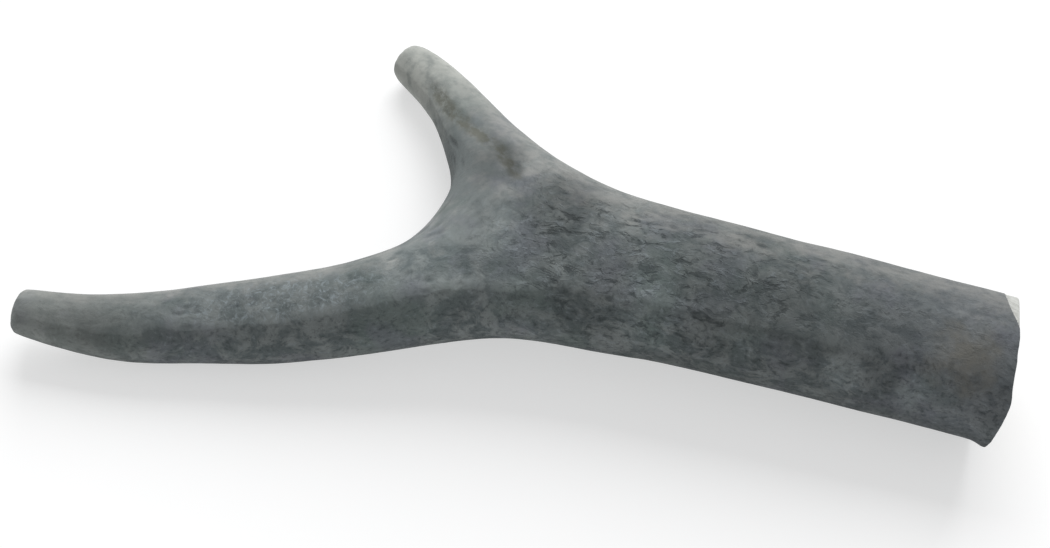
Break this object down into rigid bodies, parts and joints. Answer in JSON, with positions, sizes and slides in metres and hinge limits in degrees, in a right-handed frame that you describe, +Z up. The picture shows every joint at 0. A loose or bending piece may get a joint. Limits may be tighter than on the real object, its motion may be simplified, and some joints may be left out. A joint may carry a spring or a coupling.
{
  "type": "deer antler dog chew",
  "caption": "Forked piece of shed deer antler for a dog to gnaw: a round sawn beam that divides into a long curved tine and a short upturned one.",
  "frame": {"origin": "middle of the antler's box, on the surface that it lies on", "axes": "+X along the length towards the sawn beam, +Y towards the side that the short tine leans to, +Z up from the table"},
  "size_m": [0.1892, 0.0978, 0.0286],
  "materials": {
    "antler": "dry, matt grown antler, slate grey with darker pits and paler ridges, bone coloured where it is sawn"
  },
  "bodies": {
    "root": {"main_beam": "antler", "upper_tine": "antler", "lower_tine": "antler"}
  },
  "joints": []
}
